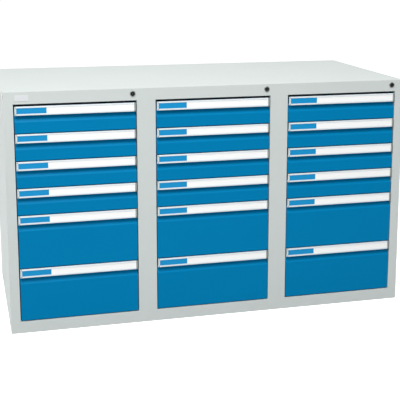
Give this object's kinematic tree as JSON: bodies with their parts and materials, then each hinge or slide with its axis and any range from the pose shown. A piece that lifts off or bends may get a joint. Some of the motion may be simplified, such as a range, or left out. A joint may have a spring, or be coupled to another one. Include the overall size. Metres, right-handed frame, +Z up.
{
  "type": "industrial drawer cabinet",
  "caption": "Sheet-steel drawer cabinet with bays of low and tall drawers on side runners, full-width label handles and a key lock with a hooked bar for each bay.",
  "frame": {"origin": "centre of the outline at floor level, handle rails included", "axes": "+X to the right seen from the front, +Y to the back, +Z up"},
  "size_m": [1.536, 0.74, 0.896],
  "materials": {
    "housing_paint": "light grey powder coat, fine texture",
    "front_paint": "blue powder coat, fine texture",
    "handle_aluminium": "pale anodised extrusion with a bare label strip",
    "zinc_steel": "zinc-plated sheet steel",
    "lock_black": "black lacquered lock plug",
    "lock_nickel": "nickel-plated lock housing",
    "label_strip": "blue and white label strip under clear film",
    "end_cap": "moulded grey end caps",
    "plate": "bare white plate"
  },
  "bodies": {
    "housing": {"front_frame": "housing_paint", "left_side_panel": "housing_paint", "right_side_panel": "housing_paint", "top_panel": "housing_paint", "back_panel": "housing_paint", "base_panel": "housing_paint", "partition_1": "housing_paint", "partition_2": "housing_paint", "name_plate": "plate", "runner_rack_left_1": "zinc_steel", "runner_rack_right_1": "zinc_steel", "lock_housing_1": "lock_nickel", "runner_rack_left_2": "zinc_steel", "runner_rack_right_2": "zinc_steel", "lock_housing_2": "lock_nickel", "runner_rack_left_3": "zinc_steel", "runner_rack_right_3": "zinc_steel", "lock_housing_3": "lock_nickel"},
    "lock_plug_1": {"lock_plug_1": "lock_black"},
    "lock_bar_1": {"lock_bar_1": "zinc_steel"},
    "drawer_1_1": {"drawer_1_1": "front_paint", "handle_1_1": "handle_aluminium"},
    "drawer_1_2": {"drawer_1_2": "front_paint", "handle_1_2": "handle_aluminium"},
    "drawer_1_3": {"drawer_1_3": "front_paint", "handle_1_3": "handle_aluminium"},
    "drawer_1_4": {"drawer_1_4": "front_paint", "handle_1_4": "handle_aluminium"},
    "drawer_1_5": {"drawer_1_5": "front_paint", "handle_1_5": "handle_aluminium"},
    "drawer_1_6": {"drawer_1_6": "front_paint", "handle_1_6": "handle_aluminium"},
    "lock_plug_2": {"lock_plug_2": "lock_black"},
    "lock_bar_2": {"lock_bar_2": "zinc_steel"},
    "drawer_2_1": {"drawer_2_1": "front_paint", "handle_2_1": "handle_aluminium"},
    "drawer_2_2": {"drawer_2_2": "front_paint", "handle_2_2": "handle_aluminium"},
    "drawer_2_3": {"drawer_2_3": "front_paint", "handle_2_3": "handle_aluminium"},
    "drawer_2_4": {"drawer_2_4": "front_paint", "handle_2_4": "handle_aluminium"},
    "drawer_2_5": {"drawer_2_5": "front_paint", "handle_2_5": "handle_aluminium"},
    "drawer_2_6": {"drawer_2_6": "front_paint", "handle_2_6": "handle_aluminium"},
    "lock_plug_3": {"lock_plug_3": "lock_black"},
    "lock_bar_3": {"lock_bar_3": "zinc_steel"},
    "drawer_3_1": {"drawer_3_1": "front_paint", "handle_3_1": "handle_aluminium"},
    "drawer_3_2": {"drawer_3_2": "front_paint", "handle_3_2": "handle_aluminium"},
    "drawer_3_3": {"drawer_3_3": "front_paint", "handle_3_3": "handle_aluminium"},
    "drawer_3_4": {"drawer_3_4": "front_paint", "handle_3_4": "handle_aluminium"},
    "drawer_3_5": {"drawer_3_5": "front_paint", "handle_3_5": "handle_aluminium"},
    "drawer_3_6": {"drawer_3_6": "front_paint", "handle_3_6": "handle_aluminium"}
  },
  "joints": [
    {"name": "lock_bar_drop_1", "type": "slide", "parent": "housing", "child": "lock_bar_1", "axis": [0, 0, -1], "range_m": [0, 0.01556]},
    {"name": "lock_turn_1", "type": "hinge", "parent": "housing", "child": "lock_plug_1", "pos_m": [-0.306, -0.366, 0.877], "axis": [0, 1, 0], "range_deg": [0, 90]},
    {"name": "slide_1_1", "type": "slide", "parent": "housing", "child": "drawer_1_1", "axis": [0, -1, 0], "range_m": [0, 0.5]},
    {"name": "slide_1_2", "type": "slide", "parent": "housing", "child": "drawer_1_2", "axis": [0, -1, 0], "range_m": [0, 0.5]},
    {"name": "slide_1_3", "type": "slide", "parent": "housing", "child": "drawer_1_3", "axis": [0, -1, 0], "range_m": [0, 0.5]},
    {"name": "slide_1_4", "type": "slide", "parent": "housing", "child": "drawer_1_4", "axis": [0, -1, 0], "range_m": [0, 0.5]},
    {"name": "slide_1_5", "type": "slide", "parent": "housing", "child": "drawer_1_5", "axis": [0, -1, 0], "range_m": [0, 0.5]},
    {"name": "slide_1_6", "type": "slide", "parent": "housing", "child": "drawer_1_6", "axis": [0, -1, 0], "range_m": [0, 0.5]},
    {"name": "lock_bar_drop_2", "type": "slide", "parent": "housing", "child": "lock_bar_2", "axis": [0, 0, -1], "range_m": [0, 0.01556]},
    {"name": "lock_turn_2", "type": "hinge", "parent": "housing", "child": "lock_plug_2", "pos_m": [0.206, -0.366, 0.877], "axis": [0, 1, 0], "range_deg": [0, 90]},
    {"name": "slide_2_1", "type": "slide", "parent": "housing", "child": "drawer_2_1", "axis": [0, -1, 0], "range_m": [0, 0.5]},
    {"name": "slide_2_2", "type": "slide", "parent": "housing", "child": "drawer_2_2", "axis": [0, -1, 0], "range_m": [0, 0.5]},
    {"name": "slide_2_3", "type": "slide", "parent": "housing", "child": "drawer_2_3", "axis": [0, -1, 0], "range_m": [0, 0.5]},
    {"name": "slide_2_4", "type": "slide", "parent": "housing", "child": "drawer_2_4", "axis": [0, -1, 0], "range_m": [0, 0.5]},
    {"name": "slide_2_5", "type": "slide", "parent": "housing", "child": "drawer_2_5", "axis": [0, -1, 0], "range_m": [0, 0.5]},
    {"name": "slide_2_6", "type": "slide", "parent": "housing", "child": "drawer_2_6", "axis": [0, -1, 0], "range_m": [0, 0.5]},
    {"name": "lock_bar_drop_3", "type": "slide", "parent": "housing", "child": "lock_bar_3", "axis": [0, 0, -1], "range_m": [0, 0.01556]},
    {"name": "lock_turn_3", "type": "hinge", "parent": "housing", "child": "lock_plug_3", "pos_m": [0.718, -0.366, 0.877], "axis": [0, 1, 0], "range_deg": [0, 90]},
    {"name": "slide_3_1", "type": "slide", "parent": "housing", "child": "drawer_3_1", "axis": [0, -1, 0], "range_m": [0, 0.5]},
    {"name": "slide_3_2", "type": "slide", "parent": "housing", "child": "drawer_3_2", "axis": [0, -1, 0], "range_m": [0, 0.5]},
    {"name": "slide_3_3", "type": "slide", "parent": "housing", "child": "drawer_3_3", "axis": [0, -1, 0], "range_m": [0, 0.5]},
    {"name": "slide_3_4", "type": "slide", "parent": "housing", "child": "drawer_3_4", "axis": [0, -1, 0], "range_m": [0, 0.5]},
    {"name": "slide_3_5", "type": "slide", "parent": "housing", "child": "drawer_3_5", "axis": [0, -1, 0], "range_m": [0, 0.5]},
    {"name": "slide_3_6", "type": "slide", "parent": "housing", "child": "drawer_3_6", "axis": [0, -1, 0], "range_m": [0, 0.5]}
  ],
  "couplings": [
    {"joint": "lock_turn_1", "follows": "lock_bar_drop_1", "rad_per_m": 100.97},
    {"joint": "lock_turn_2", "follows": "lock_bar_drop_2", "rad_per_m": 100.97},
    {"joint": "lock_turn_3", "follows": "lock_bar_drop_3", "rad_per_m": 100.97}
  ]
}
